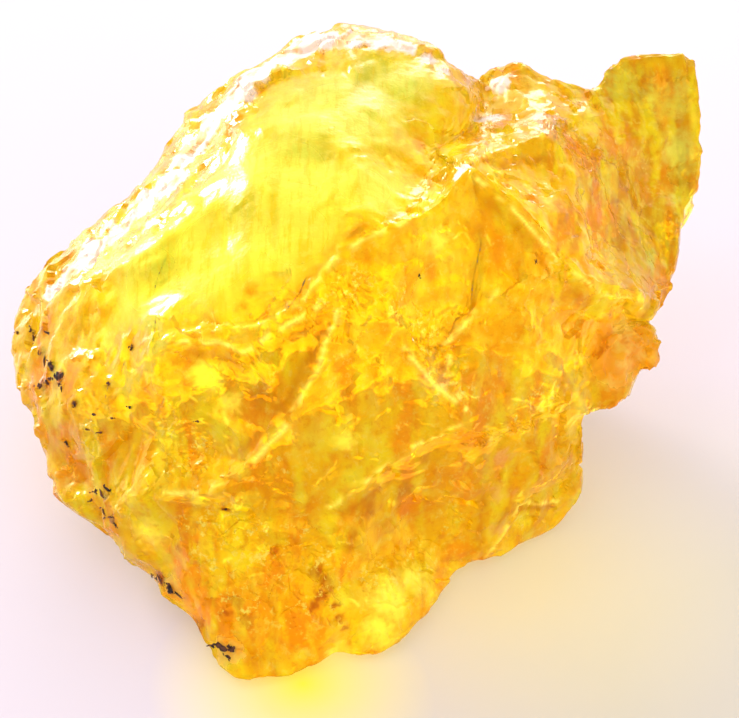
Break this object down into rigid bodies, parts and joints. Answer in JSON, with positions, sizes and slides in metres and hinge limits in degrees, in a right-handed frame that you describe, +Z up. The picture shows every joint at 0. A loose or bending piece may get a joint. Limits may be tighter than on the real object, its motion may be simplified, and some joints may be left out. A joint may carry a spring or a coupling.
{
  "type": "raw amber piece",
  "caption": "Palm-sized lump of clear raw amber: domed top, sharp conchoidal breaks on the front, a horned lobe on the right, resting on a flat break.",
  "frame": {"origin": "middle of the footprint box, on the surface that the lump rests on", "axes": "+X along the lump's longest extent, to the side with the horned lobe; +Y to the back; +Z up, out of the resting face"},
  "size_m": [0.0526, 0.0466, 0.0285],
  "materials": {
    "amber": "clear golden resin, glossy on the breaks, dull on the outer skin"
  },
  "bodies": {
    "root": {"amber_piece": "amber"}
  },
  "joints": []
}
